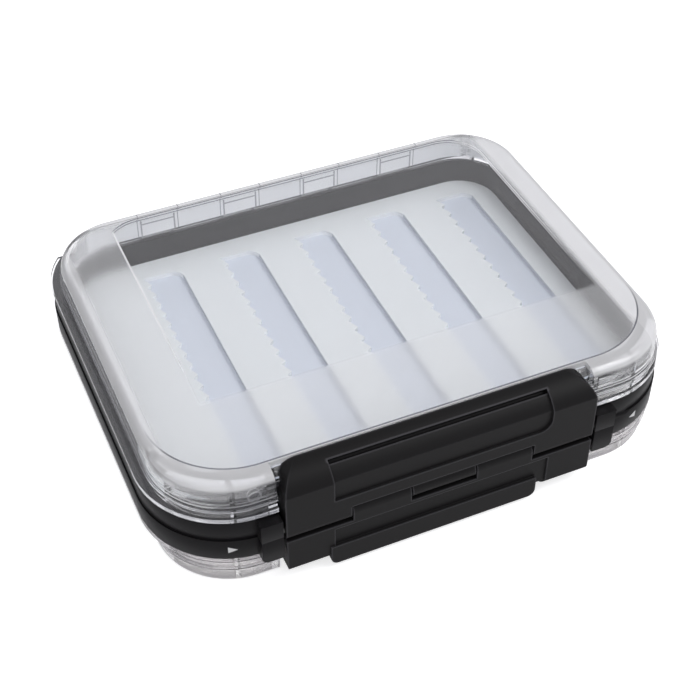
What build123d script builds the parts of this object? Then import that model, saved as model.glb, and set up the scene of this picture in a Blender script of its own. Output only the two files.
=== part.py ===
from build123d import *
import math
import os

# A double-sided waterproof lure box: a black centre frame between two clear lids.
# Millimetres. +X right, +Y to the hinges, +Z up. The origin is the centre of the resting face.

# Case
case_width = 120.0
case_depth = 100.5
case_height = 29.2
corner_radius = 20.0

# Centre frame
band_height = 10.6
band_step = 0.3
cavity_side_ledge = 5.0
cavity_end_ledge = 9.75
cavity_radius = 10.0
web_thickness = 1.0
rim_over_insert = 6.0

# Inserts with serrated grooves
insert_thickness = 2.0
insert_clearance = 0.3
groove_count = 5
groove_pitch = 19.45
groove_width = 9.5
groove_depth = 1.2
groove_back_margin = 6.1
groove_front_margin = 4.2
groove_corner_radius = 3.0
groove_group_offset = 5.6
tooth_pitch = 3.7
tooth_height = 1.25
tooth_rake = 0.75

# Seals
seal_width = 1.2
seal_side_clearance = 0.05
seal_groove_depth = 1.0
seal_inset = 0.3
seam = 0.2

# Lids
lid_wall = 1.6
lid_roof = 1.5
lid_side_ledge = 2.1
lid_front_ledge = 0.65
lid_back_ledge = 7.6
lid_front_radius = 17.0
lid_back_radius = 14.5
lid_draft = 2.5
lid_edge_radius = 2.6
lid_inner_chamfer = 0.6
inner_wall_ledge = 3.45
inner_wall_radius = 20.0
cell_end_ledge = 11.75
cell_rib_x = 45.0
cell_rib_thickness = 1.0
rim_height = 1.1
rib_level = 3.0
rib_height = 0.6
rib_projection = 0.4

# Lid hinges
hinge_pin_radius = 0.8
hinge_barrel_radius = 2.1
hinge_setback = 2.75
hinge_axis_drop = 1.75
hinge_pitch = 20.8
hinge_knuckle_count = 4
hinge_knuckle_width = 8.25
hinge_arm_height = 6.2
hinge_arm_thickness = 1.4
hinge_pin_length = 84.0

# Latches
latch_width = 70.0
latch_offset = -0.9
latch_stand_off = 2.1
latch_wall = 2.0
latch_knuckle_radius = 1.95
latch_pin_radius = 0.75
latch_centre_knuckle = 14.4
latch_end_knuckle = 14.2
latch_shoulder_height = 4.0
latch_shoulder_radius = 8.0
latch_edge_thickness = 1.0
latch_corner_radius = 5.0
latch_edge_below_roof = 0.05
latch_edge_setback = 1.3
latch_cheek = 1.5
recess_width = 49.0
recess_depth = 0.6
recess_foot = 3.2
recess_corner_radius = 2.8
recess_undercut_radius = 0.7
finger_lip = 2.8
lower_recess_depth = 0.4
lower_recess_foot = 0.9
finger_tab_width = 47.6
finger_tab_offset = -1.8
finger_tab_height = 5.3
finger_tab_projection = 0.4
finger_tab_corner_radius = 1.7
finger_tab_floor_gap = 1.25
knuckle_set_back = 0.5
catch_height = 1.5
catch_projection = 2.1
catch_overlap = 0.8
catch_drop = 6.0
boss_width = 4.7
boss_projection = 1.95
boss_drop = 0.9
boss_top_step = 0.6
boss_corner_radius = 1.5

# Clearances
pin_clearance = 0.05
knuckle_gap = 0.3
hinge_slot_clearance = 0.25
latch_gap = 0.25
latch_end_gap = 0.6
latch_back_clearance = 0.55
lid_latch_gap = 0.3
catch_gap = 0.2
pin_end_gap = 0.3

# Levels
mid = case_height / 2
frame_top = mid + band_height / 2
frame_bottom = mid - band_height / 2
insert_top = frame_top - rim_over_insert
web_top = insert_top - insert_thickness
web_bottom = web_top - web_thickness
lid_bottom = frame_top + seam
lid_height = case_height - lid_bottom
mid_plane = Plane.XY.offset(mid)

# Plan positions
case_back = case_depth / 2
case_front = -case_depth / 2
cavity_width = case_width - 2 * cavity_side_ledge
cavity_depth = case_depth - 2 * cavity_end_ledge
lid_back = case_back - lid_back_ledge
lid_front = case_front + lid_front_ledge
lid_half_width = case_width / 2 - lid_side_ledge
inner_wall_front = case_front + inner_wall_ledge
hinge_y = case_back - hinge_setback
hinge_z = frame_top - hinge_axis_drop
hinge_xs = [(i - (hinge_knuckle_count - 1) / 2) * hinge_pitch for i in range(hinge_knuckle_count)]
latch_face = case_front - latch_stand_off
latch_pin_y = latch_face + latch_knuckle_radius
latch_pocket_y = latch_pin_y + latch_knuckle_radius + latch_back_clearance
latch_inner = latch_face + latch_wall
latch_edge_y = inner_wall_front + latch_edge_setback
latch_zone = latch_width + 2 * latch_end_gap
latch_foot = mid + latch_knuckle_radius + latch_gap
latch_pin_length = latch_zone + boss_width
latch_top = case_height - latch_edge_below_roof
catch_top = case_height - catch_drop


def plan_outline(front, front_radius, back_radius, inset, mode=Mode.ADD):
    """Plan of a lid's wall with larger corners in front, drawn into the open sketch."""
    side = lid_half_width - inset
    near = front + inset
    far = lid_back - inset
    near_radius = front_radius - inset
    far_radius = back_radius - inset
    with BuildLine() as outline:
        Line((near_radius - side, near), (side - near_radius, near))
        RadiusArc((side - near_radius, near), (side, near + near_radius), -near_radius)
        Line((side, near + near_radius), (side, far - far_radius))
        RadiusArc((side, far - far_radius), (side - far_radius, far), -far_radius)
        Line((side - far_radius, far), (far_radius - side, far))
        RadiusArc((far_radius - side, far), (-side, far - far_radius), -far_radius)
        Line((-side, far - far_radius), (-side, near + near_radius))
        RadiusArc((-side, near + near_radius), (near_radius - side, near), -near_radius)
    make_face(outline.edges(), mode=mode)


def case_outline(inset):
    """Plan of the case, drawn into the open sketch."""
    RectangleRounded(case_width - 2 * inset, case_depth - 2 * inset, corner_radius - inset)


def cavity_outline(inset):
    """Plan of the frame's open middle, drawn into the open sketch."""
    RectangleRounded(cavity_width - 2 * inset, cavity_depth - 2 * inset, cavity_radius - inset)


def shell_outline(inset):
    """Plan of a lid's outer wall where it meets the frame."""
    plan_outline(lid_front, lid_front_radius, lid_back_radius, inset)


def inner_outline(inset, mode=Mode.ADD):
    """Plan of the wall that presses on the seal: it runs straight behind the latch."""
    plan_outline(inner_wall_front, inner_wall_radius, lid_back_radius, inset, mode)


def x_cylinder(radius, length, y, z, x=0, mode=Mode.ADD):
    """A round bar or bore along X, centred on x."""
    with Locations((x, y, z)):
        Cylinder(radius, length, rotation=(0, 90, 0), mode=mode)


def groove_outline(left, back, front):
    """One groove's plan: a smooth right wall, a toothed left wall that holds the hooks."""
    right = left + groove_width
    teeth = int((back - front) / tooth_pitch)
    toothed_front = back - teeth * tooth_pitch
    with BuildLine() as outline:
        wall = [(left, back)]
        for i in range(teeth):
            tooth_back = back - i * tooth_pitch
            wall.append((left + tooth_height, tooth_back - tooth_rake * tooth_pitch))
            wall.append((left, tooth_back - tooth_pitch))
        Polyline(*wall)
        Line((left, toothed_front), (left, front))
        Line((left, front), (right - groove_corner_radius, front))
        RadiusArc(
            (right - groove_corner_radius, front),
            (right, front + groove_corner_radius),
            -groove_corner_radius,
        )
        Line((right, front + groove_corner_radius), (right, back - groove_corner_radius))
        RadiusArc(
            (right, back - groove_corner_radius),
            (right - groove_corner_radius, back),
            -groove_corner_radius,
        )
        Line((right - groove_corner_radius, back), (left, back))
    make_face(outline.edges())


# Lid: clear moulded shell. An inner wall presses on the seal all round. In front, the outer
# wall stands off from it at the corners, and between them the latch has its pocket.
# The hollow under the roof is made first, so that the inner wall follows the outer one.
with BuildPart() as lid_hollow:
    with BuildSketch(Plane.XY.offset(lid_bottom)):
        inner_outline(lid_wall)
    extrude(amount=lid_height - lid_roof, taper=lid_draft)
    chamfer(lid_hollow.faces().sort_by(Axis.Z)[-1].edges(), lid_inner_chamfer)

with BuildPart() as upper_lid:
    # Shell
    with BuildSketch(Plane.XY.offset(lid_bottom)):
        shell_outline(0)
    extrude(amount=lid_height, taper=lid_draft)
    fillet(upper_lid.faces().sort_by(Axis.Z)[-1].edges(), lid_edge_radius)
    # Rim at the seam, ended at the back wall so that the lid can swing, and a rib above it
    with BuildSketch(Plane.XY.offset(lid_bottom)):
        case_outline(0)
        with Locations((0, case_back)):
            Rectangle(case_width, 2 * lid_back_ledge, mode=Mode.SUBTRACT)
    extrude(amount=rim_height)
    with BuildSketch(Plane.XY.offset(lid_bottom + rib_level)):
        shell_outline(-rib_projection)
    extrude(amount=rib_height)
    add(lid_hollow.part, mode=Mode.SUBTRACT)
    # Latch pocket: the wall steps back to the seal and leans clear of the latch's hook edge
    roof_front = latch_edge_y + lid_latch_gap
    roof_foot = case_height - latch_edge_thickness - lid_latch_gap
    with BuildSketch(Plane.YZ.offset(latch_offset)):
        with BuildLine():
            Polyline(
                (latch_face, lid_bottom),
                (inner_wall_front, lid_bottom),
                (inner_wall_front, roof_foot - (roof_front - inner_wall_front)),
                (roof_front, roof_foot),
                (roof_front, case_height),
                (latch_face, case_height),
                close=True,
            )
        make_face()
    extrude(amount=latch_zone / 2, both=True, mode=Mode.SUBTRACT)
    # Cells between the two walls at the front corners, each with a rib across it
    with BuildSketch(Plane.XY.offset(lid_bottom)):
        shell_outline(lid_wall)
        inner_outline(0, Mode.SUBTRACT)
        with Locations((latch_offset, case_front)):
            Rectangle(latch_zone + 2 * lid_wall, case_depth, mode=Mode.SUBTRACT)
        with Locations((0, case_back)):
            Rectangle(case_width, 2 * (case_depth - cell_end_ledge), mode=Mode.SUBTRACT)
        with Locations((-cell_rib_x, case_front), (cell_rib_x, case_front)):
            Rectangle(cell_rib_thickness, case_depth, mode=Mode.SUBTRACT)
    extrude(amount=lid_height - lid_roof, mode=Mode.SUBTRACT)
    # Catch ridge under the latch's hook
    with BuildSketch(Plane.XY.offset(catch_top)):
        with Locations((latch_offset, inner_wall_front - catch_projection / 2 + lid_wall / 4)):
            Rectangle(
                latch_width - 2 * (latch_cheek + latch_end_gap),
                catch_projection + lid_wall / 2,
            )
    extrude(amount=-catch_height)
    # Hinge arms and knuckles
    for x in hinge_xs:
        with BuildSketch(Plane.YZ.offset(x)):
            with BuildLine():
                Polyline(
                    (lid_back - hinge_arm_thickness, lid_bottom),
                    (lid_back - hinge_arm_thickness, lid_bottom + hinge_arm_height),
                    (lid_back + hinge_arm_thickness, lid_bottom + hinge_arm_height),
                    (hinge_y + hinge_barrel_radius, hinge_z),
                    (hinge_y, hinge_z - hinge_barrel_radius),
                    (hinge_y - hinge_barrel_radius, hinge_z),
                    (hinge_y - hinge_barrel_radius, lid_bottom),
                    close=True,
                )
            make_face()
            with Locations((hinge_y, hinge_z)):
                Circle(hinge_barrel_radius)
        extrude(amount=hinge_knuckle_width / 2, both=True)
    x_cylinder(hinge_pin_radius + pin_clearance, case_width, hinge_y, hinge_z, mode=Mode.SUBTRACT)
upper_lid.part.label = "upper_lid"

with BuildPart() as lower_lid:
    add(upper_lid.part)
    mirror(about=mid_plane, mode=Mode.REPLACE)
lower_lid.part.label = "lower_lid"

# Centre frame: black moulding with a web across its middle, hinge knuckles at the back
# and the latch pin's bosses at the front.
with BuildPart() as center_frame:
    with BuildSketch(Plane.XY.offset(frame_bottom)):
        case_outline(0)
    extrude(amount=band_height / 2)
    with BuildSketch(mid_plane):
        case_outline(band_step)
    extrude(amount=band_height / 2)
    # Front set back behind the latches
    with BuildSketch(Plane.XY.offset(frame_bottom)):
        with Locations((latch_offset, latch_pocket_y - case_depth / 2)):
            Rectangle(latch_zone, case_depth)
    extrude(amount=band_height, mode=Mode.SUBTRACT)
    # Bosses that hold the latch pin: a full block, and in front of the lower lid a rounded foot
    boss_front = latch_pin_y - boss_projection
    boss_depth = latch_pocket_y - boss_front
    boss_top = frame_top - boss_top_step
    boss_foot = frame_bottom - boss_drop
    for side in (-1, 1):
        boss_x = latch_offset + side * (latch_zone / 2 + boss_width / 2)
        with BuildSketch(Plane.XY.offset(frame_bottom)):
            with Locations((boss_x, boss_front + boss_depth / 2)):
                Rectangle(boss_width, boss_depth)
        extrude(amount=boss_top - frame_bottom)
        with BuildSketch(Plane.XZ.offset(-boss_front)) as boss_view:
            with Locations((boss_x, (boss_top + boss_foot) / 2)):
                Rectangle(boss_width, boss_top - boss_foot)
            outer_foot = boss_view.vertices().group_by(Axis.Y)[0].sort_by(Axis.X)[0 if side < 0 else -1]
            fillet(outer_foot, boss_corner_radius)
        extrude(amount=boss_front - case_front + lid_latch_gap)
    # Compartments above and below the web
    with BuildSketch(Plane.XY.offset(frame_top)):
        cavity_outline(0)
    extrude(amount=web_top - frame_top, mode=Mode.SUBTRACT)
    with BuildSketch(Plane.XY.offset(frame_bottom)):
        cavity_outline(0)
    extrude(amount=web_bottom - frame_bottom, mode=Mode.SUBTRACT)
    # Seal grooves in both faces
    for face, direction in ((frame_top, -1), (frame_bottom, 1)):
        with BuildSketch(Plane.XY.offset(face)):
            inner_outline(seal_inset - seal_side_clearance)
            inner_outline(seal_inset + seal_width + seal_side_clearance, Mode.SUBTRACT)
        extrude(amount=direction * seal_groove_depth, mode=Mode.SUBTRACT)
    # Slots for the lids' knuckles
    slot_front = hinge_y - hinge_barrel_radius - hinge_slot_clearance
    slot_depth = case_back - slot_front
    with BuildSketch(Plane.XY.offset(frame_bottom)):
        for x in hinge_xs:
            with Locations((x, slot_front + slot_depth / 2)):
                Rectangle(hinge_knuckle_width + 2 * knuckle_gap, slot_depth)
    extrude(amount=band_height, mode=Mode.SUBTRACT)
    # Bores: the hinge pins go in from the right, and so does the latch pin
    right_end = case_width / 2
    left_end = -hinge_pin_length / 2 - pin_end_gap
    for z in (hinge_z, case_height - hinge_z):
        x_cylinder(
            hinge_pin_radius + pin_clearance, right_end - left_end, hinge_y, z,
            x=(right_end + left_end) / 2, mode=Mode.SUBTRACT,
        )
    left_end = latch_offset - latch_pin_length / 2 - pin_end_gap
    x_cylinder(
        latch_pin_radius + pin_clearance, right_end - left_end, latch_pin_y, mid,
        x=(right_end + left_end) / 2, mode=Mode.SUBTRACT,
    )
center_frame.part.label = "center_frame"

# Inserts: soft white mouldings laid on the web, with a row of toothed grooves.
with BuildPart() as upper_insert:
    with BuildSketch(Plane.XY.offset(web_top)):
        cavity_outline(insert_clearance)
    extrude(amount=insert_thickness)
    with BuildSketch(Plane.XY.offset(insert_top)):
        for i in range(groove_count):
            groove_middle = groove_group_offset + (i - (groove_count - 1) / 2) * groove_pitch
            groove_outline(
                groove_middle - groove_width / 2,
                cavity_depth / 2 - groove_back_margin,
                -cavity_depth / 2 + groove_front_margin,
            )
    extrude(amount=-groove_depth, mode=Mode.SUBTRACT)
upper_insert.part.label = "upper_insert"

with BuildPart() as lower_insert:
    add(upper_insert.part)
    mirror(about=Plane.XY.offset((web_top + web_bottom) / 2), mode=Mode.REPLACE)
lower_insert.part.label = "lower_insert"

# Seals: silicone rings that fill the grooves and the seam under each lid.
with BuildPart() as upper_seal:
    with BuildSketch(Plane.XY.offset(frame_top - seal_groove_depth)):
        inner_outline(seal_inset)
        inner_outline(seal_inset + seal_width, Mode.SUBTRACT)
    extrude(amount=seal_groove_depth + seam)
upper_seal.part.label = "upper_seal"

with BuildPart() as lower_seal:
    add(upper_seal.part)
    mirror(about=mid_plane, mode=Mode.REPLACE)
lower_seal.part.label = "lower_seal"

# Steel pins
with BuildPart() as upper_hinge_pin:
    x_cylinder(hinge_pin_radius, hinge_pin_length, hinge_y, hinge_z)
upper_hinge_pin.part.label = "upper_hinge_pin"

with BuildPart() as lower_hinge_pin:
    x_cylinder(hinge_pin_radius, hinge_pin_length, hinge_y, case_height - hinge_z)
lower_hinge_pin.part.label = "lower_hinge_pin"

with BuildPart() as latch_pin:
    x_cylinder(latch_pin_radius, latch_pin_length, latch_pin_y, mid, x=latch_offset)
latch_pin.part.label = "latch_pin"

# Latches: one hook bar for each lid, sharing one pin through interleaved knuckles.
# Both are cut from the same body, drawn here for the upper lid.
shoulder_foot = (latch_face, latch_top - latch_shoulder_height)
shoulder_head = (latch_edge_y, latch_top)
hook_tip = inner_wall_front - catch_projection + catch_overlap
hook_foot = catch_top + catch_gap
cheek_back = latch_pocket_y - lid_latch_gap


def arc_height(centre, radius, y):
    """Height at y of the upper half of a circle about centre."""
    return centre.Y + math.sqrt(radius**2 - (y - centre.X) ** 2)


with BuildPart() as latch_body:
    with BuildSketch(Plane.YZ.offset(latch_offset)):
        with BuildLine():
            Line((latch_face, latch_foot), shoulder_foot)
            shoulder = RadiusArc(shoulder_foot, shoulder_head, latch_shoulder_radius)
            shoulder_centre = shoulder.arc_center
            inner_radius = latch_shoulder_radius - latch_wall
            inner_end_y = latch_edge_y - latch_edge_thickness
            inner_start = (latch_inner, arc_height(shoulder_centre, inner_radius, latch_inner))
            inner_end = (inner_end_y, arc_height(shoulder_centre, inner_radius, inner_end_y))
            Polyline(shoulder_head, (latch_edge_y, latch_top - latch_edge_thickness), inner_end)
            RadiusArc(inner_start, inner_end, inner_radius)
            Polyline(inner_start, (latch_inner, latch_foot), (latch_face, latch_foot))
        make_face()
        # Hook that bears on the lid's catch ridge
        with Locations(((latch_inner + hook_tip) / 2, hook_foot + catch_height / 2)):
            Rectangle(hook_tip - latch_inner + latch_wall, catch_height)
    extrude(amount=latch_width / 2, both=True)
    # Cheeks that close the ends
    cheek_head = (cheek_back, arc_height(shoulder_centre, latch_shoulder_radius, cheek_back))
    for side in (-1, 1):
        with BuildSketch(Plane.YZ.offset(latch_offset + side * (latch_width - latch_cheek) / 2)):
            with BuildLine():
                Line((latch_face, latch_foot), shoulder_foot)
                RadiusArc(shoulder_foot, cheek_head, latch_shoulder_radius)
                Polyline(cheek_head, (cheek_back, latch_foot), (latch_face, latch_foot))
            make_face()
        extrude(amount=latch_cheek / 2, both=True)
    # Rounded upper corners
    with BuildSketch(Plane.XZ.offset(-latch_face)) as front_view:
        with Locations((latch_offset, (latch_foot + latch_top) / 2)):
            Rectangle(latch_width, latch_top - latch_foot)
        fillet(front_view.vertices().group_by(Axis.Y)[-1], latch_corner_radius)
    extrude(amount=case_depth / 2, both=True, mode=Mode.INTERSECT)


def recess_profile(depth, foot):
    """Section of the finger recess, from its foot up to the lip, drawn into the open sketch."""
    floor_y = latch_face + depth
    floor_radius = latch_shoulder_radius - depth
    floor_top = (floor_y, arc_height(shoulder_centre, floor_radius, floor_y))
    lip_y = latch_edge_y - finger_lip
    lip_foot = (lip_y, arc_height(shoulder_centre, floor_radius, lip_y))
    lip_lean = (lip_y - shoulder_centre.X) / floor_radius
    lip_outside = (
        lip_y + 2 * depth * lip_lean,
        lip_foot[1] + 2 * depth * math.sqrt(1 - lip_lean**2),
    )
    with BuildLine() as outline:
        Line((floor_y, foot), floor_top)
        RadiusArc(floor_top, lip_foot, floor_radius)
        Polyline(
            lip_foot,
            lip_outside,
            (latch_face - depth, latch_top),
            (latch_face - depth, foot),
            (floor_y, foot),
        )
    make_face(outline.edges())
    return lip_foot


def knuckle_profile(set_back):
    """Round the pin, with a foot up to the latch's face in front; drawn into the open sketch."""
    with Locations((latch_pin_y, mid)):
        Circle(latch_knuckle_radius)
    foot_depth = latch_wall - set_back
    with Locations((latch_inner - foot_depth / 2, (mid + latch_foot + latch_gap) / 2)):
        Rectangle(foot_depth, latch_foot + latch_gap - mid)


# The upper recess has one rounded lower corner, on the right
with BuildPart() as upper_recess:
    with BuildSketch(Plane.YZ.offset(latch_offset)):
        lip_foot = recess_profile(recess_depth, latch_foot + recess_foot)
    extrude(amount=recess_width / 2, both=True)
    with BuildSketch(Plane.XZ.offset(-latch_face)) as recess_view:
        with Locations((latch_offset, (latch_foot + recess_foot + latch_top) / 2)):
            Rectangle(recess_width, latch_top - latch_foot - recess_foot)
        fillet(recess_view.vertices().group_by(Axis.Y)[0].sort_by(Axis.X)[-1], recess_corner_radius)
    extrude(amount=case_depth / 2, both=True, mode=Mode.INTERSECT)

with BuildPart() as upper_latch:
    add(latch_body.part)
    add(upper_recess.part, mode=Mode.SUBTRACT)
    x_cylinder(
        recess_undercut_radius, recess_width + recess_undercut_radius,
        lip_foot[0], lip_foot[1] - recess_undercut_radius / 2, x=latch_offset, mode=Mode.SUBTRACT,
    )
    with BuildSketch(Plane.YZ.offset(latch_offset)):
        knuckle_profile(knuckle_set_back)
    extrude(amount=latch_centre_knuckle / 2, both=True)
    for side in (-1, 1):
        with BuildSketch(Plane.YZ.offset(latch_offset + side * (latch_width - latch_end_knuckle) / 2)):
            knuckle_profile(0)
        extrude(amount=latch_end_knuckle / 2, both=True)
    x_cylinder(latch_pin_radius + pin_clearance, case_width, latch_pin_y, mid, mode=Mode.SUBTRACT)
upper_latch.part.label = "upper_latch"

with BuildPart() as lower_latch:
    add(latch_body.part)
    with BuildSketch(Plane.YZ.offset(latch_offset)):
        recess_profile(lower_recess_depth, latch_foot + lower_recess_foot)
    extrude(amount=recess_width / 2, both=True, mode=Mode.SUBTRACT)
    middle_knuckle = (latch_width - latch_centre_knuckle) / 2 - latch_end_knuckle - 2 * knuckle_gap
    for side in (-1, 1):
        knuckle_x = latch_offset + side * (latch_centre_knuckle / 2 + knuckle_gap + middle_knuckle / 2)
        with BuildSketch(Plane.YZ.offset(knuckle_x)):
            knuckle_profile(0)
        extrude(amount=middle_knuckle / 2, both=True)
    x_cylinder(latch_pin_radius + pin_clearance, case_width, latch_pin_y, mid, mode=Mode.SUBTRACT)
    # Finger tab across the lip
    tab_front = latch_face - finger_tab_projection
    tab_top = case_height - finger_tab_floor_gap
    with BuildSketch(Plane.XZ.offset(-tab_front)) as tab_view:
        with Locations((latch_offset + finger_tab_offset, tab_top - finger_tab_height / 2)):
            Rectangle(finger_tab_width, finger_tab_height)
        fillet(tab_view.vertices().group_by(Axis.Y)[-1], finger_tab_corner_radius)
    extrude(amount=-(latch_wall + finger_tab_projection))
    mirror(about=mid_plane, mode=Mode.REPLACE)
lower_latch.part.label = "lower_latch"

pieces = [
    center_frame, upper_insert, lower_insert, upper_seal, lower_seal, upper_lid, lower_lid,
    upper_hinge_pin, lower_hinge_pin, upper_latch, lower_latch, latch_pin,
]
os.makedirs("parts", exist_ok=True)
for piece in pieces:
    export_step(piece.part, f"parts/{piece.part.label}.step")
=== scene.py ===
import bpy
import bmesh
import math
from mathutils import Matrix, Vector


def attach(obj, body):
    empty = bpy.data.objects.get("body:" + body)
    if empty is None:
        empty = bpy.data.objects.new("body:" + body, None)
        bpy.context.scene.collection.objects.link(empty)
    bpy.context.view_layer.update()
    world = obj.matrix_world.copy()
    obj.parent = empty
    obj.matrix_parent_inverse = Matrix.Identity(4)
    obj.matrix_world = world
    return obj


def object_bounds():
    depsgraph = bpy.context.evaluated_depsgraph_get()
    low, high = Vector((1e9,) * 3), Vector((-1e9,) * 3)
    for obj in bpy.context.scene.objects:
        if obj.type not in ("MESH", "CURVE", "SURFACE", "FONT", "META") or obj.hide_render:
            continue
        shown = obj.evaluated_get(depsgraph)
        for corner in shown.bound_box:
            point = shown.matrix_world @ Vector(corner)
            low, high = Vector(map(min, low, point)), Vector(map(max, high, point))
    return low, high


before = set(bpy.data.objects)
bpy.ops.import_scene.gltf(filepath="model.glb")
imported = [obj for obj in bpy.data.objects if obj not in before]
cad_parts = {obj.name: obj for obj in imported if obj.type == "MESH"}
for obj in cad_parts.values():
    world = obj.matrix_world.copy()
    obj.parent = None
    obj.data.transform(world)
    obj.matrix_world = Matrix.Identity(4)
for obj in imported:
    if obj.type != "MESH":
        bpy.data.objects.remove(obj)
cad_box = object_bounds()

# Camera
# The viewpoint was fitted to the case's outline in the photograph: left of the front,
# about 43 degrees up, with a long lens from 0.3 m.
scene = bpy.context.scene
scene.view_settings.view_transform = "Standard"
mm = 0.001
view_azimuth = math.radians(-23.776)
view_elevation = math.radians(43.096)
view_distance = 308.7 * mm
view_target = Vector((-5.26, -13.81, 20.55)) * mm
view_lens, film_width = 72.22, 36
nearest_seen = 10 * mm
view_back = Vector((
    math.sin(view_azimuth) * math.cos(view_elevation),
    -math.cos(view_azimuth) * math.cos(view_elevation),
    math.sin(view_elevation),
))
camera = bpy.data.objects.new("camera", bpy.data.cameras.new("camera"))
scene.collection.objects.link(camera)
camera.location = view_target + view_back * view_distance
camera.rotation_mode = "QUATERNION"
camera.rotation_quaternion = (-view_back).to_track_quat("-Z", "Y")
camera.data.sensor_width = film_width
camera.data.lens = view_lens
camera.data.clip_start = nearest_seen
scene.camera = camera

# Floor and light
# The case lies on a plain sheet of matte white paper in a light tent. The sheet is lifted to
# white where it is seen, directly or through the clear lids, and keeps a faint shadow.
sheet_size = 3.0
sheet_lift, sheet_mirrored = 0.65, 0.15
tent_dim, tent_bright = 0.55, 0.93


def colour(hex_code, alpha=1.0):
    """An sRGB hex colour as linear red, green, blue and alpha."""
    channels = [int(hex_code[i:i + 2], 16) / 255 for i in (1, 3, 5)]
    linear = [c / 12.92 if c <= 0.04045 else ((c + 0.055) / 1.055) ** 2.4 for c in channels]
    return (*linear, alpha)


def node(owner, kind, settings=None, *values, **inputs):
    """Adds a node to a material or the world.

    Settings are the node's own properties. Values fill its inputs in order, and the others
    are named, or numbered as _6. A node given for an input is linked by its first output.
    """
    made = owner.node_tree.nodes.new(kind)
    for name, value in (settings or {}).items():
        setattr(made, name, value)
    numbered = {int(key[1:]): value for key, value in inputs.items() if key[0] == "_"}
    named = {key.replace("_", " "): value for key, value in inputs.items() if key[0] != "_"}
    for key, value in {**dict(enumerate(values)), **numbered, **named}.items():
        if isinstance(value, bpy.types.Node):
            value = value.outputs[0]
        if isinstance(value, bpy.types.NodeSocket):
            owner.node_tree.links.new(value, made.inputs[key])
        else:
            made.inputs[key].default_value = value
    return made


def new_material(name):
    """A material with no nodes yet."""
    material = bpy.data.materials.new(name)
    material.use_nodes = True
    material.node_tree.nodes.clear()
    return material


def softbox(name, place, size, watts):
    """A square area lamp aimed at the case."""
    data = bpy.data.lights.new(name, "AREA")
    data.size = size
    data.energy = watts
    lamp = bpy.data.objects.new(name, data)
    scene.collection.objects.link(lamp)
    lamp.location = place
    lamp.rotation_mode = "QUATERNION"
    lamp.rotation_quaternion = (-Vector(place)).to_track_quat("-Z", "Y")


paper = new_material("white_paper_sheet")
path = node(paper, "ShaderNodeLightPath")
seen = node(
    paper, "ShaderNodeMath", {"operation": "MAXIMUM"},
    path.outputs["Is Camera Ray"], path.outputs["Is Transmission Ray"],
)
bright = node(paper, "ShaderNodeMath", {"operation": "MULTIPLY"}, seen, sheet_lift)
mirrored = node(
    paper, "ShaderNodeMath", {"operation": "MULTIPLY"}, path.outputs["Is Glossy Ray"], sheet_mirrored,
)
lift = node(paper, "ShaderNodeMath", {"operation": "MAXIMUM"}, bright, mirrored)
matte = node(paper, "ShaderNodeBsdfDiffuse", Color=colour("#f2f2f2"))
glow = node(paper, "ShaderNodeEmission", Color=colour("#ffffff"), Strength=lift)
shader = node(paper, "ShaderNodeAddShader", _0=matte, _1=glow)
node(paper, "ShaderNodeOutputMaterial", Surface=shader)

bpy.ops.mesh.primitive_plane_add(size=sheet_size, location=(0, 0, 0))
floor = bpy.context.object
floor.name = "floor"
floor.data.materials.append(paper)

# The tent is brighter where it is seen, directly or through the clear lids
tent = bpy.data.worlds.new("studio_tent")
tent.use_nodes = True
scene.world = tent
path = node(tent, "ShaderNodeLightPath")
seen = node(
    tent, "ShaderNodeMath", {"operation": "MAXIMUM"},
    path.outputs["Is Camera Ray"], path.outputs["Is Transmission Ray"],
)
tent_light = node(tent, "ShaderNodeMapRange", Value=seen, To_Min=tent_dim, To_Max=tent_bright)
tent_cloth = tent.node_tree.nodes["Background"]
tent_cloth.inputs["Color"].default_value = colour("#fafaff")
tent.node_tree.links.new(tent_light.outputs[0], tent_cloth.inputs["Strength"])

softbox("key_light", place=(0.45, -0.3, 0.75), size=0.5, watts=2.5)
softbox("fill_light", place=(-0.5, -0.5, 0.6), size=0.6, watts=1.0)

# Centre frame
# Injection moulded ABS, dyed black through. The mould is lightly spark eroded, which gives
# a satin sheen with a very fine grain, and the band's two halves are slightly crowned.
case_middle = (cad_box[0][2] + cad_box[1][2]) / 2
band_half = 5.3 * mm
crown_height = 0.35 * mm
# The real grain is about 0.05 mm wide, too fine to show, so it is drawn coarser
frame_grain, frame_grain_depth = 0.35 * mm, 0.006 * mm


def dress(name, material):
    """Gives a CAD node a material on all its faces."""
    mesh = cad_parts[name].data
    mesh.materials.clear()
    mesh.materials.append(material)


frame_plastic = new_material("black_abs_satin_moulded")
place = node(frame_plastic, "ShaderNodeTexCoord")
grain = node(
    frame_plastic, "ShaderNodeTexNoise", Vector=place.outputs["Object"],
    Scale=1 / frame_grain, Detail=3.0, Roughness=0.6,
)
# Each half of the band rises in a low arch between its edge and the seam at the middle
spot = node(frame_plastic, "ShaderNodeSeparateXYZ", Vector=place.outputs["Object"])
from_middle = node(
    frame_plastic, "ShaderNodeMath", {"operation": "SUBTRACT"}, spot.outputs["Z"], case_middle,
)
level = node(frame_plastic, "ShaderNodeMath", {"operation": "ABSOLUTE"}, from_middle)
share = node(frame_plastic, "ShaderNodeMath", {"operation": "DIVIDE"}, level, band_half)
from_top = node(frame_plastic, "ShaderNodeMath", {"operation": "SUBTRACT"}, share, 0.5)
square = node(frame_plastic, "ShaderNodeMath", {"operation": "POWER"}, from_top, 2.0)
crown = node(frame_plastic, "ShaderNodeMath", {"operation": "MULTIPLY"}, square, -4 * crown_height)
pits = node(frame_plastic, "ShaderNodeMath", {"operation": "MULTIPLY"}, grain, frame_grain_depth)
relief = node(frame_plastic, "ShaderNodeMath", {"operation": "ADD"}, crown, pits)
bump = node(frame_plastic, "ShaderNodeBump", Strength=1.0, Distance=1.0, Height=relief)
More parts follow.
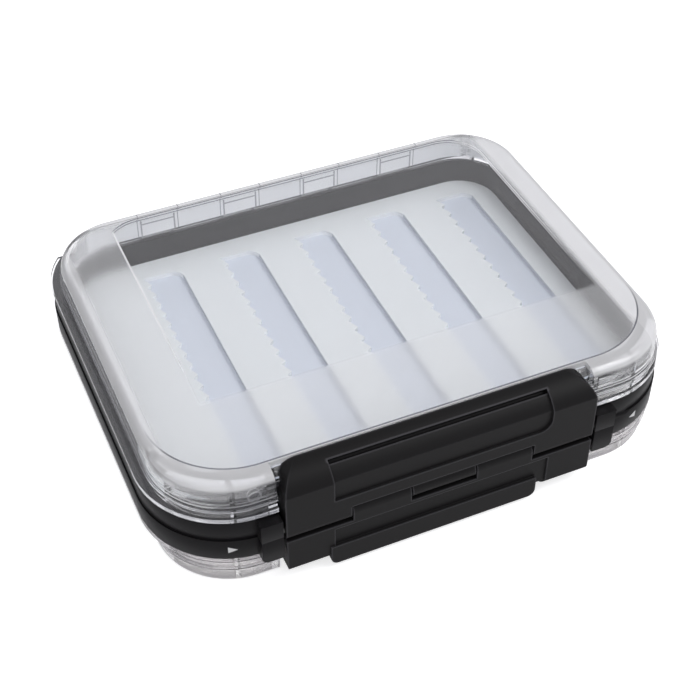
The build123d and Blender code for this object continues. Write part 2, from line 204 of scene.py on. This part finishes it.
sheen = node(frame_plastic, "ShaderNodeMapRange", Value=grain, To_Min=0.30, To_Max=0.42)
tint = node(
    frame_plastic, "ShaderNodeMix", {"data_type": "RGBA"}, Factor=grain,
    _6=colour("#151415"), _7=colour("#1b1a1c"),
)
shader = node(
    frame_plastic, "ShaderNodeBsdfPrincipled", Base_Color=tint.outputs[2],
    Roughness=sheen, Normal=bump, IOR=1.54, Specular_IOR_Level=0.1,
)
node(frame_plastic, "ShaderNodeOutputMaterial", Surface=shader)
dress("center_frame", frame_plastic)

# Latches
# Black ABS as well, from a mould with a slightly coarser spark-eroded face. The corners
# are broken by about 0.3 mm, and a painted highlight makes the colour lighter along them.
broken_corner = 0.3 * mm
edge_highlight_band = 1.3 * broken_corner
# The real texture is about 0.1 mm wide, too fine to show, so it is drawn coarser
latch_grain, latch_grain_depth = 0.45 * mm, 0.06 * mm
latch_plastic = new_material("black_abs_spark_textured")
place = node(latch_plastic, "ShaderNodeTexCoord")
grain = node(
    latch_plastic, "ShaderNodeTexNoise", Vector=place.outputs["Object"],
    Scale=1 / latch_grain, Detail=4.0, Roughness=0.65,
)
sheen = node(latch_plastic, "ShaderNodeMapRange", Value=grain, To_Min=0.38, To_Max=0.52)
corner = node(latch_plastic, "ShaderNodeBevel", {"samples": 4}, Radius=broken_corner)
bump = node(
    latch_plastic, "ShaderNodeBump", Strength=0.18, Distance=latch_grain_depth, Height=grain,
    Normal=corner,
)
tint = node(
    latch_plastic, "ShaderNodeMix", {"data_type": "RGBA"}, Factor=grain,
    _6=colour("#131212"), _7=colour("#1a191a"),
)
# Painted highlight: the colour turns lighter in a narrow band along the convex edges
near_edge = node(
    latch_plastic, "ShaderNodeAmbientOcclusion", {"samples": 4, "inside": True}, Distance=edge_highlight_band,
)
edge_highlight = node(
    latch_plastic, "ShaderNodeMapRange", Value=near_edge.outputs["AO"], From_Min=0.95, From_Max=0.55,
)
edge_highlighted = node(
    latch_plastic, "ShaderNodeMix", {"data_type": "RGBA"}, Factor=edge_highlight,
    _6=tint.outputs[2], _7=colour("#444346"),
)
shader = node(
    latch_plastic, "ShaderNodeBsdfPrincipled", Base_Color=edge_highlighted.outputs[2],
    Roughness=sheen, Normal=bump, IOR=1.54, Specular_IOR_Level=0.15,
)
node(latch_plastic, "ShaderNodeOutputMaterial", Surface=shader)
for name in ("upper_latch", "lower_latch"):
    dress(name, latch_plastic)

# Inserts
# A soft thermoplastic rubber, moulded with toothed grooves that hold the hooks. The lands
# between the grooves are satin white, and the groove floors are painted cooler and darker as painted shade.
web_middle = 11.4 * mm
white_start, white_full = 1.4 * mm, 2.2 * mm
smooth_wall_facing, smooth_wall_shade = -0.6, 0.4
tooth_side_facing = -0.3
# The rubber's own grain is too fine to show, so it is drawn coarser
rubber_grain, rubber_grain_depth = 0.6 * mm, 0.05 * mm
insert_rubber = new_material("white_tpr_satin_moulded")
place = node(insert_rubber, "ShaderNodeTexCoord")
grain = node(
    insert_rubber, "ShaderNodeTexNoise", Vector=place.outputs["Object"],
    Scale=1 / rubber_grain, Detail=3.0,
)
sheen = node(insert_rubber, "ShaderNodeMapRange", Value=grain, To_Min=0.45, To_Max=0.58)
bump = node(
    insert_rubber, "ShaderNodeBump", Strength=0.06, Distance=rubber_grain_depth, Height=grain,
)
land = node(
    insert_rubber, "ShaderNodeMix", {"data_type": "RGBA"}, Factor=grain,
    _6=colour("#e4e8e9"), _7=colour("#eaedee"),
)
# Painted shade: towards the groove floors the colour turns cooler and darker
spot = node(insert_rubber, "ShaderNodeSeparateXYZ", Vector=place.outputs["Object"])
from_web = node(
    insert_rubber, "ShaderNodeMath", {"operation": "SUBTRACT"}, spot.outputs["Z"], web_middle,
)
level = node(insert_rubber, "ShaderNodeMath", {"operation": "ABSOLUTE"}, from_web)
raised = node(
    insert_rubber, "ShaderNodeMapRange", Value=level, From_Min=white_start, From_Max=white_full,
)
tint = node(
    insert_rubber, "ShaderNodeMix", {"data_type": "RGBA"}, Factor=raised,
    _6=colour("#d6dce6"), _7=land.outputs[2],
)
# A groove's smooth wall is in its own shade
facing = node(insert_rubber, "ShaderNodeSeparateXYZ", Vector=place.outputs["Normal"])
smooth_wall = node(
    insert_rubber, "ShaderNodeMath", {"operation": "LESS_THAN"}, facing.outputs["X"], smooth_wall_facing,
)
shade = node(
    insert_rubber, "ShaderNodeMath", {"operation": "MULTIPLY"}, smooth_wall, smooth_wall_shade,
)
shaded = node(
    insert_rubber, "ShaderNodeMix", {"data_type": "RGBA"}, Factor=shade,
    _6=tint.outputs[2], _7=colour("#8f97a6"),
)
# The teeth's short sides face the latches and are painted lighter, a painted highlight for the light they
# catch
tooth_side = node(
    insert_rubber, "ShaderNodeMath", {"operation": "LESS_THAN"}, facing.outputs["Y"], tooth_side_facing,
)
lit = node(
    insert_rubber, "ShaderNodeMix", {"data_type": "RGBA"}, Factor=tooth_side,
    _6=shaded.outputs[2], _7=colour("#f8fafb"),
)
shader = node(
    insert_rubber, "ShaderNodeBsdfPrincipled", Base_Color=lit.outputs[2],
    Roughness=sheen, Normal=bump, IOR=1.5,
)
node(insert_rubber, "ShaderNodeOutputMaterial", Surface=shader)
for name in ("upper_insert", "lower_insert"):
    dress(name, insert_rubber)

# Seals
# Moulded rings of black silicone, pressed into the frame's grooves. Silicone is matte and
# holds a little dust, which shows as paler patches about a millimetre wide.
dust_patch = 1.11 * mm
silicone = new_material("black_silicone_matte")
place = node(silicone, "ShaderNodeTexCoord")
dust = node(
    silicone, "ShaderNodeTexNoise", Vector=place.outputs["Object"], Scale=1 / dust_patch, Detail=2.0,
)
tint = node(
    silicone, "ShaderNodeMix", {"data_type": "RGBA"}, Factor=dust,
    _6=colour("#1b1b1c"), _7=colour("#29292a"),
)
shader = node(
    silicone, "ShaderNodeBsdfPrincipled", Base_Color=tint.outputs[2], Roughness=0.7, IOR=1.41,
)
node(silicone, "ShaderNodeOutputMaterial", Surface=shader)
for name in ("upper_seal", "lower_seal"):
    dress(name, silicone)

# Pins
# Stainless wire, drawn through a die and cut to length. The drawing leaves fine lines
# along the wire, which spread its reflections across.
wire = new_material("stainless_wire_drawn")
# The real lines are about 0.01 mm wide, too fine to show, so they are drawn coarser
line_across, line_along = 0.167 * mm, 5.0 * mm
place = node(wire, "ShaderNodeTexCoord")
stretched = node(
    wire, "ShaderNodeMapping", Vector=place.outputs["Object"],
    Scale=(1 / line_along, 1 / line_across, 1 / line_across),
)
lines = node(wire, "ShaderNodeTexNoise", Vector=stretched, Scale=1.0, Detail=2.0)
sheen = node(wire, "ShaderNodeMapRange", Value=lines, To_Min=0.22, To_Max=0.38)
shader = node(
    wire, "ShaderNodeBsdfPrincipled", Base_Color=colour("#c9c9c7"), Metallic=1.0, Roughness=sheen,
)
node(wire, "ShaderNodeOutputMaterial", Surface=shader)
for name in ("upper_hinge_pin", "lower_hinge_pin", "latch_pin"):
    dress(name, wire)

# Lids
# Clear polycarbonate, injection moulded about 1.6 mm thick. The roof has a polished window,
# and the mould around it is sand blasted, which frosts the border. The front and left walls
# are polished, and those at the back and the right are milky.
clear = new_material("clear_polycarbonate_part_frosted")
place = node(clear, "ShaderNodeTexCoord")
spot = node(clear, "ShaderNodeSeparateXYZ", Vector=place.outputs["Object"])
x, y = spot.outputs["X"], spot.outputs["Y"]
off_side = node(clear, "ShaderNodeMath", {"operation": "ABSOLUTE"}, x)
from_middle = node(clear, "ShaderNodeMath", {"operation": "SUBTRACT"}, spot.outputs["Z"], case_middle)
height = node(clear, "ShaderNodeMath", {"operation": "ABSOLUTE"}, from_middle)


def both(first, second):
    """The part that two masks share, or a mask at a share of its strength."""
    return node(clear, "ShaderNodeMath", {"operation": "MULTIPLY"}, first, second)


def either(first, *others):
    """The part that any of these masks covers."""
    for other in others:
        first = node(clear, "ShaderNodeMath", {"operation": "MAXIMUM"}, first, other)
    return first


def rest_of(mask):
    """The part that a mask leaves free."""
    return node(clear, "ShaderNodeMath", {"operation": "SUBTRACT"}, 1.0, mask)


def rise(value, start, full):
    """A mask that rises from 0 at start to 1 at full."""
    return node(clear, "ShaderNodeMapRange", Value=value, From_Min=start, From_Max=full)


def stripe(value, middle, half):
    """A mask of the values that lie within half of the middle."""
    return node(clear, "ShaderNodeMath", {"operation": "COMPARE"}, value, middle, half)


def below(value, limit):
    """A mask of the values under a limit."""
    return node(clear, "ShaderNodeMath", {"operation": "LESS_THAN"}, value, limit)


def distance(first, second):
    """The length of a way that goes so far in one direction and so far across it."""
    squares = [node(clear, "ShaderNodeMath", {"operation": "POWER"}, part, 2.0) for part in (first, second)]
    total = node(clear, "ShaderNodeMath", {"operation": "ADD"}, *squares)
    return node(clear, "ShaderNodeMath", {"operation": "SQRT"}, total)


def past_outline(left, right, front, back, corner):
    """How far a spot lies outside a rectangle with round corners, seen from above."""
    ways = []
    for value, low, high in ((x, left, right), (y, front, back)):
        middle, half = (low + high) / 2, (high - low) / 2 - corner
        way = node(clear, "ShaderNodeMath", {"operation": "SUBTRACT"}, value, middle)
        way = node(clear, "ShaderNodeMath", {"operation": "ABSOLUTE"}, way)
        way = node(clear, "ShaderNodeMath", {"operation": "SUBTRACT"}, way, half)
        ways.append(node(clear, "ShaderNodeMath", {"operation": "MAXIMUM"}, way, 0.0))
    return node(clear, "ShaderNodeMath", {"operation": "SUBTRACT"}, distance(*ways), corner)


# The window has round corners at the back and is cut straight at its left side and front
window_left, window_right = -46.0 * mm, 49.7 * mm
window_front, window_back = -24.5 * mm, 39.0 * mm
window_corner = 9.0 * mm
window_cut = -43.2 * mm
window_blur = 0.15 * mm
roof_start, roof_full = 11.2 * mm, 12.4 * mm
frosted_milk, window_milk = 0.15, 0.015
past_corner = past_outline(
    window_left, window_right, window_front - window_corner, window_back, window_corner,
)
past_cut = node(clear, "ShaderNodeMath", {"operation": "SUBTRACT"}, window_cut, x)
past_front = node(clear, "ShaderNodeMath", {"operation": "SUBTRACT"}, window_front, y)
past_window = either(past_corner, past_cut, past_front)
on_roof = rise(height, roof_start, roof_full)
frosted = both(rise(past_window, -window_blur, window_blur), on_roof)

# Above the rim the back wall is milky, and so is the right one, in front only near its top
rim_start, rim_full = 6.6 * mm, 6.8 * mm
back_start, back_full = 39.2 * mm, 39.8 * mm
right_start, right_full = 49.9 * mm, 51.5 * mm
right_front, right_back = -36.0 * mm, -24.0 * mm
wall_top_start, wall_top_full = 8.6 * mm, 10.0 * mm
back_milk, right_milk = 0.95, 0.68
above_rim = rise(height, rim_start, rim_full)
at_back = rise(y, back_start, back_full)
right_reach = either(rise(y, right_front, right_back), rise(height, wall_top_start, wall_top_full))
at_right = both(rise(x, right_start, right_full), right_reach)
milky_wall = both(above_rim, either(both(at_back, back_milk), both(at_right, right_milk)))

# The roof is a little milky along its left edge too
left_start, left_full = -53.0 * mm, -55.0 * mm
left_milk = 0.35
left_border = both(rise(x, left_start, left_full), on_roof)

# The window's edge is painted with a bright line at its sides, a painted highlight, and a dark one at the
# back
line_half = 0.14 * mm
side_start, side_full = -23.0 * mm, 10.0 * mm
back_edge_start, back_edge_full = 36.0 * mm, 37.5 * mm
window_edge_highlight_milk = 0.85
roof_edge = both(stripe(past_window, 0.0, line_half), on_roof)
back_edge = rise(y, back_edge_start, back_edge_full)
window_edge_highlight = both(both(rise(y, side_start, side_full), roof_edge), rest_of(back_edge))
dark_edge = both(roof_edge, back_edge)

# Each hinge bracket is outlined on the back wall, with a narrow post beside each side
hinge_pitch = 20.8 * mm
bracket_half, bracket_top = 4.1 * mm, 11.4 * mm
bracket_line_half, post_half = 0.2 * mm, 0.12 * mm
post_gap = 0.9 * mm
lintel_drop = 1.2 * mm
bracket_line_strength = 0.7
along_pitch = node(clear, "ShaderNodeMath", {"operation": "WRAP"}, x, hinge_pitch, 0.0)
from_bracket = node(clear, "ShaderNodeMath", {"operation": "SUBTRACT"}, along_pitch, hinge_pitch / 2)
off_bracket = node(clear, "ShaderNodeMath", {"operation": "ABSOLUTE"}, from_bracket)
upright = both(stripe(off_bracket, bracket_half, bracket_line_half), below(height, bracket_top))
post = stripe(off_bracket, bracket_half + post_gap, post_half)
lintel = both(
    below(off_bracket, bracket_half), stripe(height, bracket_top - lintel_drop, bracket_line_half),
)
outline = both(either(upright, post, lintel), below(off_side, 2 * hinge_pitch))
bracket_line = both(outline, both(at_back, above_rim))

# In front of the wall that stands on the seal the roof is milky, and a dark line shows
# where that wall joins it
seal_wall_side = 57.9 * mm
seal_wall_front, seal_wall_back = -46.8 * mm, 42.6 * mm
seal_wall_corner = 20.0 * mm
join_inset, join_half = 2.1 * mm, 1.3 * line_half
front_start, front_full = 2.5 * mm, 2.2 * mm
flat_start, flat_full = 12.9 * mm, 13.6 * mm
front_reach_start, front_reach_full = -26.0 * mm, -36.0 * mm
front_milk, dark_line_milk = 0.6, 0.7
from_wall = past_outline(
    -seal_wall_side, seal_wall_side, seal_wall_front, seal_wall_back, seal_wall_corner,
)
flat_front = both(rise(y, front_reach_start, front_reach_full), rise(height, flat_start, flat_full))
front_border = both(rise(from_wall, -front_start, -front_full), flat_front)
wall_join = both(stripe(from_wall, -join_inset, join_half), flat_front)
dark_line = either(dark_edge, both(bracket_line, bracket_line_strength), wall_join)

# The front wall has a hollow on each side of the latches, which gets lower towards the
# corner. On the upper lid the hollows are painted dark, a painted shade for the black frame that shows
# through them, and the right one is painted paler, as painted light on the side that faces the lamps; the
# lower lid's lie in front of the white sheet and are not painted.
hollow_low = 7.2 * mm
hollow_near, hollow_far = 35.5 * mm, 52.0 * mm
hollow_slope_start = 38.0 * mm
hollow_top_near, hollow_top_far = 13.0 * mm, 8.2 * mm
hollow_front_of = -40.0 * mm
hollow_pale, hollow_dark = 0.15, 0.6
hollow_top = node(
    clear, "ShaderNodeMapRange", Value=off_side, From_Min=hollow_slope_start, From_Max=hollow_far,
    To_Min=hollow_top_near, To_Max=hollow_top_far,
)
hollow_height = both(below(height, hollow_top), below(hollow_low, height))
hollow_across = stripe(off_side, (hollow_near + hollow_far) / 2, (hollow_far - hollow_near) / 2)
hollow = both(both(hollow_height, hollow_across), below(y, hollow_front_of))
frosted = both(frosted, rest_of(hollow))
under = below(spot.outputs["Z"], case_middle)
hollow_strength = node(
    clear, "ShaderNodeMapRange", Value=x, From_Min=hollow_near, From_Max=-hollow_near,
    To_Min=hollow_pale, To_Max=hollow_dark,
)
hollow_shade = both(both(hollow, hollow_strength), rest_of(under))

# Two fine parting lines run round the wall, where the mould's rings met, and on the left
# wall a shaded step lies above each of them
ring_half = 0.2 * mm
ring_heights = (7.9 * mm, 9.4 * mm)
step_rise = 0.7 * mm
left_wall = -50.0 * mm
ring_milk, ring_step_strength = 0.7, 0.4
parting_line = either(*[stripe(height, ring, ring_half) for ring in ring_heights])
ring_step = either(*[stripe(height, ring + step_rise, ring_half) for ring in ring_heights])
ring_step = both(both(ring_step, below(x, left_wall)), ring_step_strength)

# A round ejector's mark stands on the front wall beside the latch
mark_x, mark_height, mark_radius = -41.0 * mm, 11.0 * mm, 1.3 * mm
mark_front_of = -44.0 * mm
mark_milk = 0.4
mark_off = node(clear, "ShaderNodeMath", {"operation": "SUBTRACT"}, x, mark_x)
mark_up = node(clear, "ShaderNodeMath", {"operation": "SUBTRACT"}, height, mark_height)
mark_ring = stripe(distance(mark_off, mark_up), mark_radius, line_half)
ejector_mark = both(mark_ring, below(y, mark_front_of))

# The frost is a fine blast, about 0.05 mm wide, drawn coarser so that it shows
blast_grain, blast_depth, blast_strength = 0.4 * mm, 0.04 * mm, 0.2
polished, blasted = 0.02, 0.17
haze = node(clear, "ShaderNodeMapRange", Value=frosted, To_Min=polished, To_Max=blasted)
blast = node(
    clear, "ShaderNodeTexNoise", Vector=place.outputs["Object"], Scale=1 / blast_grain, Detail=3.0,
)
bump = node(
    clear, "ShaderNodeBump", Strength=both(frosted, blast_strength), Distance=blast_depth, Height=blast,
)
milk = either(
    milky_wall, both(frosted, frosted_milk), both(left_border, left_milk),
    both(front_border, front_milk), window_milk, both(parting_line, ring_milk),
    both(ejector_mark, mark_milk), both(window_edge_highlight, window_edge_highlight_milk), both(dark_line, dark_line_milk),
)
darkness = either(dark_line, ring_step, hollow_shade)
# Painted shade: the lower lid's colour is darker and a little pinker than the upper one's
lid_colour_shaded_below = node(
    clear, "ShaderNodeMix", {"data_type": "RGBA"}, Factor=under,
    _6=colour("#fbfbfc"), _7=colour("#eae8e9"),
)
tint = node(
    clear, "ShaderNodeMix", {"data_type": "RGBA"}, Factor=darkness,
    _6=lid_colour_shaded_below.outputs[2], _7=colour("#77777f"),
)
plastic = node(
    clear, "ShaderNodeBsdfPrincipled", Base_Color=tint.outputs[2],
    Roughness=haze, IOR=1.585, Transmission_Weight=rest_of(milk), Normal=bump,
)
# The lamps shine through the lids without the dark shadow that bent rays would leave
path = node(clear, "ShaderNodeLightPath")
to_lamp = node(clear, "ShaderNodeBsdfTransparent", Color=colour("#f6f7f8"))
shader = node(
    clear, "ShaderNodeMixShader", _0=path.outputs["Is Shadow Ray"], _1=plastic, _2=to_lamp,
)
node(clear, "ShaderNodeOutputMaterial", Surface=shader)
for name in ("upper_lid", "lower_lid"):
    dress(name, clear)

# Arrowheads
# A small white arrowhead is pad printed on the band's lower half near each front corner.
# The matte ink stands about 0.05 mm proud of the curved corner.
arrow_length, arrow_half_height = 1.9 * mm, 0.85 * mm
arrow_tip = 0.02
arrow_level = 12.0 * mm
arrow_turn = math.radians(21)
arrow_steps = 6
ink_thickness = 0.05 * mm
# The ink's grain is too fine to show, so it is drawn coarser
ink_grain = 0.3 * mm
band_corner, band_front = 20.0 * mm, -50.25 * mm
corner_x, corner_y = cad_box[1][0] - band_corner, band_front + band_corner
ink = new_material("white_pad_printed_ink")
place = node(ink, "ShaderNodeTexCoord")
grain = node(
    ink, "ShaderNodeTexNoise", Vector=place.outputs["Object"], Scale=1 / ink_grain, Detail=2.0,
)
tint = node(
    ink, "ShaderNodeMix", {"data_type": "RGBA"}, Factor=grain,
    _6=colour("#c9c9c9"), _7=colour("#e2e2e2"),
)
shader = node(ink, "ShaderNodeBsdfPrincipled", Base_Color=tint.outputs[2], Roughness=0.55, IOR=1.5)
node(ink, "ShaderNodeOutputMaterial", Surface=shader)


def arrowhead(name, side):
    """A printed triangle that points to the latch, wrapped round the corner on one side."""
    mesh = bmesh.new()
    rows = []
    for i in range(arrow_steps + 1):
        turn = arrow_turn - i / arrow_steps * arrow_length / band_corner
        half = arrow_half_height * (1 - (1 - arrow_tip) * i / arrow_steps)
        row = []
        for radius in (band_corner - ink_thickness, band_corner + ink_thickness):
            across = side * (corner_x + radius * math.sin(turn))
            along = corner_y - radius * math.cos(turn)
            row += [
                mesh.verts.new((across, along, arrow_level - half)),
                mesh.verts.new((across, along, arrow_level + half)),
            ]
        rows.append(row)
    for near, far in zip(rows, rows[1:]):
        for a, b in ((0, 1), (1, 3), (3, 2), (2, 0)):
            mesh.faces.new((near[a], near[b], far[b], far[a]))
    for row in (rows[0], rows[-1]):
        mesh.faces.new((row[0], row[1], row[3], row[2]))
    bmesh.ops.recalc_face_normals(mesh, faces=mesh.faces)
    data = bpy.data.meshes.new(name)
    mesh.to_mesh(data)
    mesh.free()
    piece = bpy.data.objects.new(name, data)
    scene.collection.objects.link(piece)
    data.materials.append(ink)
    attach(piece, "frame")


arrowhead("arrowhead_left", -1)
arrowhead("arrowhead_right", 1)
